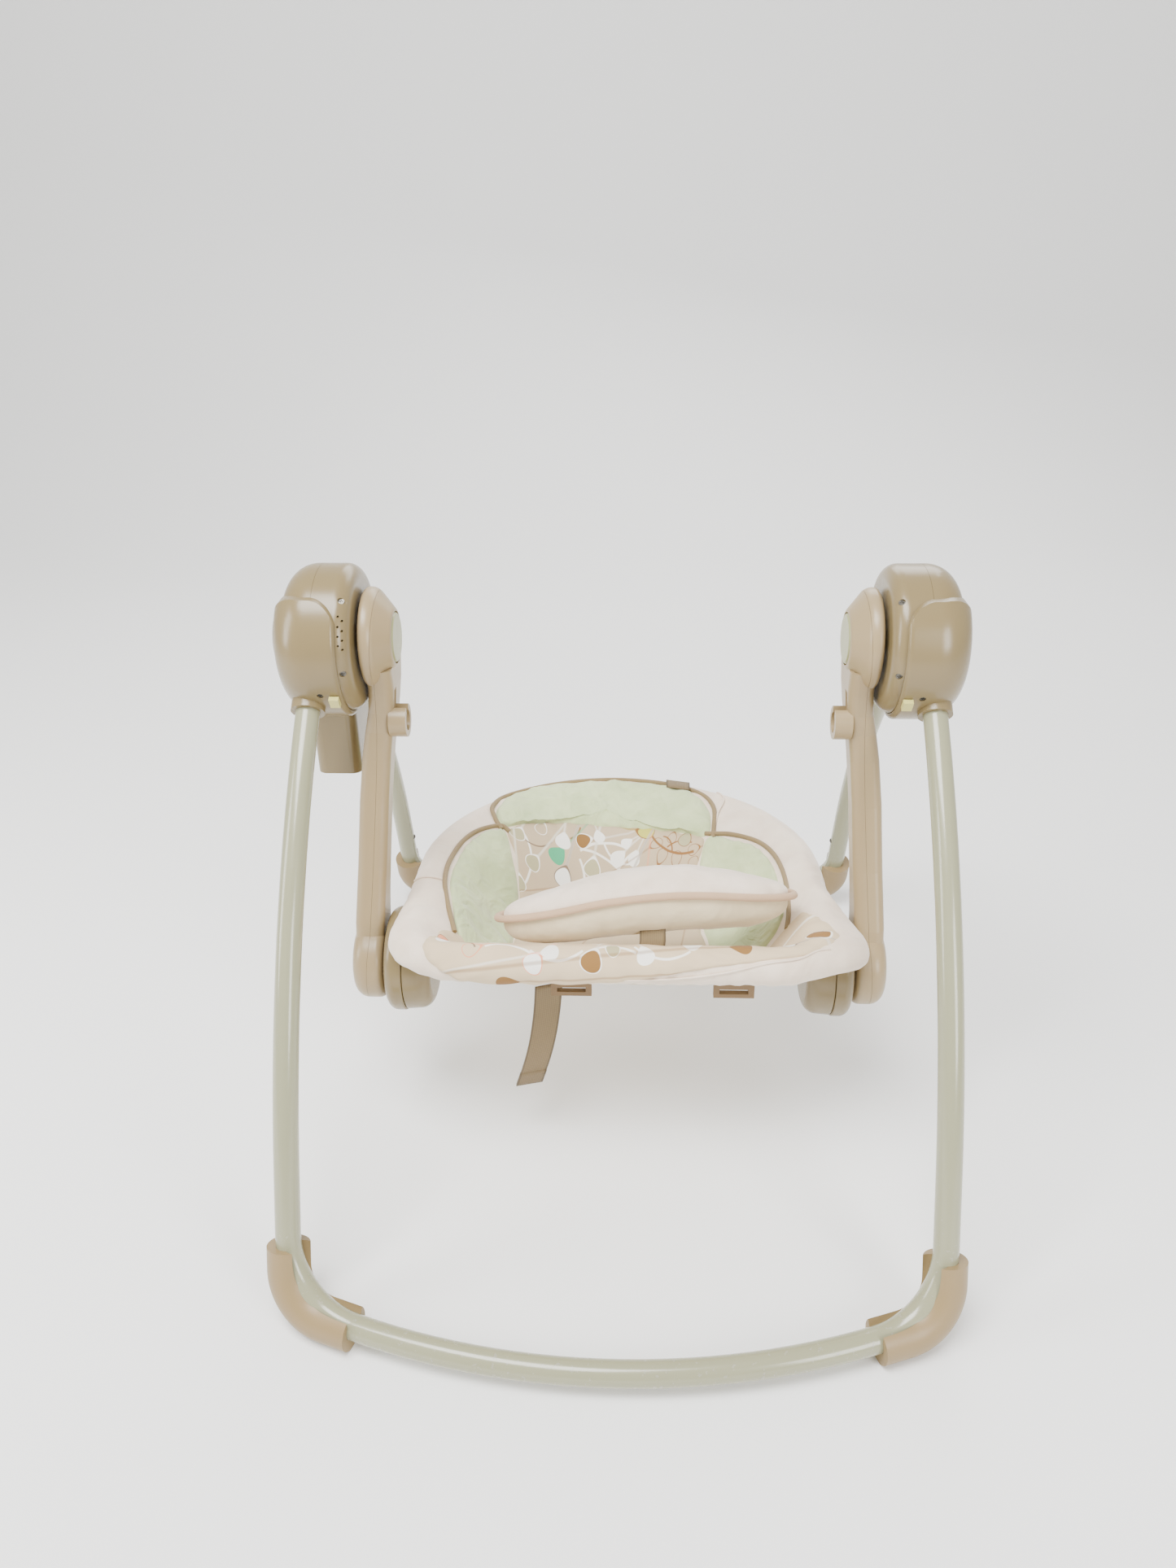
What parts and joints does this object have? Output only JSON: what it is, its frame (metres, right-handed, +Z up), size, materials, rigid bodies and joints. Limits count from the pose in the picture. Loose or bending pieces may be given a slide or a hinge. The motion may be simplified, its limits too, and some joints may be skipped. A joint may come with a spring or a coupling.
{
  "type": "baby swing",
  "caption": "Portable folding baby swing: bowed tube legs, round pivot housings, hanging arms, reclining padded seat, battery drive, fold releases and strap.",
  "frame": {"origin": "on the floor at the middle of the footprint", "axes": "+Z up, -Y to the front where the sitter's feet point, +X to the side without the battery case"},
  "size_m": [0.5724, 0.7226, 0.52],
  "materials": {
    "leg_paint": "satin enamel, off-white with a green-grey cast",
    "foot_plastic": "satin moulded beige",
    "housing_plastic": "semi-gloss moulded tan",
    "arm_plastic": "semi-gloss moulded sand",
    "cap_plastic": "pale green inset",
    "button_plastic": "pale yellow",
    "steel": "zinc plated",
    "bearing_plastic": "natural acetal",
    "brass": "turned",
    "board": "laminate",
    "speaker_black": "black",
    "cell_jacket": "printed jacket, plain",
    "velour": "cream plush velour",
    "mint_quilt": "mint velour, quilted",
    "printed_cotton": null,
    "piping": "taupe piping cord",
    "webbing_plastic": "moulded tan",
    "webbing": "woven webbing"
  },
  "bodies": {
    "rear_frame": {"rear_leg_left": "leg_paint", "rear_leg_right": "leg_paint", "rear_base_tube": "leg_paint", "rear_foot_left": "foot_plastic", "rear_foot_right": "foot_plastic", "housing_inner_shell_left": "housing_plastic", "housing_inner_shell_right": "housing_plastic", "housing_outer_shell_left": "housing_plastic", "housing_outer_shell_right": "housing_plastic", "housing_screws": "steel", "leg_hinge_pins": "steel", "pivot_bush_left": "bearing_plastic", "pivot_bush_right": "bearing_plastic", "control_pod": "housing_plastic", "battery_case": "housing_plastic", "battery_door": "housing_plastic", "battery_cells": "cell_jacket", "circuit_board": "board", "speaker": "speaker_black", "drive_motor": "steel"},
    "front_frame": {"front_leg_left": "leg_paint", "front_leg_right": "leg_paint", "front_base_tube": "leg_paint", "front_foot_left": "foot_plastic", "front_foot_right": "foot_plastic", "front_leg_cowl_left": "housing_plastic", "front_leg_cowl_right": "housing_plastic", "cowl_screws": "steel"},
    "swing": {"arm_inner_shell_left": "arm_plastic", "arm_inner_shell_right": "arm_plastic", "arm_outer_shell_left": "arm_plastic", "arm_outer_shell_right": "arm_plastic", "arm_cap_left": "cap_plastic", "arm_cap_right": "cap_plastic", "pivot_axle_left": "steel", "pivot_axle_right": "steel", "axle_retainer_right": "steel", "drive_gear": "bearing_plastic", "recline_pins": "steel"},
    "seat": {"seat_hub_outer_shell_left": "housing_plastic", "seat_hub_outer_shell_right": "housing_plastic", "seat_hub_inner_shell_left": "housing_plastic", "seat_hub_inner_shell_right": "housing_plastic", "seat_front_tube": "steel", "seat_back_tube": "steel", "seat_cover": "velour", "restraint_cushion": "velour", "strap_guides": "webbing_plastic", "strap_tail": "webbing"},
    "pinion": {"motor_pinion": "brass"},
    "release_left": {"fold_release_button_left": "button_plastic"},
    "release_right": {"fold_release_button_right": "button_plastic"},
    "front_snap_left": {"front_snap_button_left": "steel"},
    "front_snap_right": {"front_snap_button_right": "steel"},
    "rear_snap_left": {"rear_snap_button_left": "steel"},
    "rear_snap_right": {"rear_snap_button_right": "steel"},
    "dial": {"speed_dial": "button_plastic"},
    "melody": {"melody_button": "button_plastic"},
    "volume": {"volume_button": "button_plastic"}
  },
  "joints": [
    {"name": "front_fold", "type": "hinge", "parent": "rear_frame", "child": "front_frame", "pos_m": [0, 0.015, 0.458], "axis": [1, 0, 0], "range_deg": [0, 40]},
    {"name": "swing_pivot", "type": "hinge", "parent": "rear_frame", "child": "swing", "pos_m": [0, 0.015, 0.458], "axis": [1, 0, 0], "range_deg": [-18, 18]},
    {"name": "seat_recline", "type": "hinge", "parent": "swing", "child": "seat", "pos_m": [0, -0.053, 0.172], "axis": [1, 0, 0], "range_deg": [0, 15]},
    {"name": "pinion_spin", "type": "hinge", "parent": "rear_frame", "child": "pinion", "pos_m": [-0.228, 0.015, 0.48815], "axis": [1, 0, 0], "range_deg": [-75, 75]},
    {"name": "release_press_left", "type": "slide", "parent": "front_frame", "child": "release_left", "axis": [0, 0.4695, -0.8829], "range_m": [0, 0.004], "stiffness_N_per_m": 250},
    {"name": "front_snap_press_left", "type": "slide", "parent": "front_frame", "child": "front_snap_left", "axis": [0, -0.9272, 0.3746], "range_m": [0, 0.002], "stiffness_N_per_m": 600},
    {"name": "rear_snap_press_left", "type": "slide", "parent": "rear_frame", "child": "rear_snap_left", "axis": [-1, 0, 0], "range_m": [0, 0.002], "stiffness_N_per_m": 600},
    {"name": "release_press_right", "type": "slide", "parent": "front_frame", "child": "release_right", "axis": [0, 0.4695, -0.8829], "range_m": [0, 0.004], "stiffness_N_per_m": 250},
    {"name": "front_snap_press_right", "type": "slide", "parent": "front_frame", "child": "front_snap_right", "axis": [0, -0.9272, 0.3746], "range_m": [0, 0.002], "stiffness_N_per_m": 600},
    {"name": "rear_snap_press_right", "type": "slide", "parent": "rear_frame", "child": "rear_snap_right", "axis": [1, 0, 0], "range_m": [0, 0.002], "stiffness_N_per_m": 600},
    {"name": "dial_turn", "type": "hinge", "parent": "rear_frame", "child": "dial", "pos_m": [-0.29, 0.015, 0.462], "axis": [-1, 0, 0], "range_deg": [0, 270]},
    {"name": "melody_press", "type": "slide", "parent": "rear_frame", "child": "melody", "axis": [1, 0, 0], "range_m": [0, 0.0015], "stiffness_N_per_m": 400},
    {"name": "volume_press", "type": "slide", "parent": "rear_frame", "child": "volume", "axis": [1, 0, 0], "range_m": [0, 0.0015], "stiffness_N_per_m": 400}
  ],
  "couplings": [
    {"joint": "pinion_spin", "follows": "swing_pivot", "ratio": -4}
  ]
}
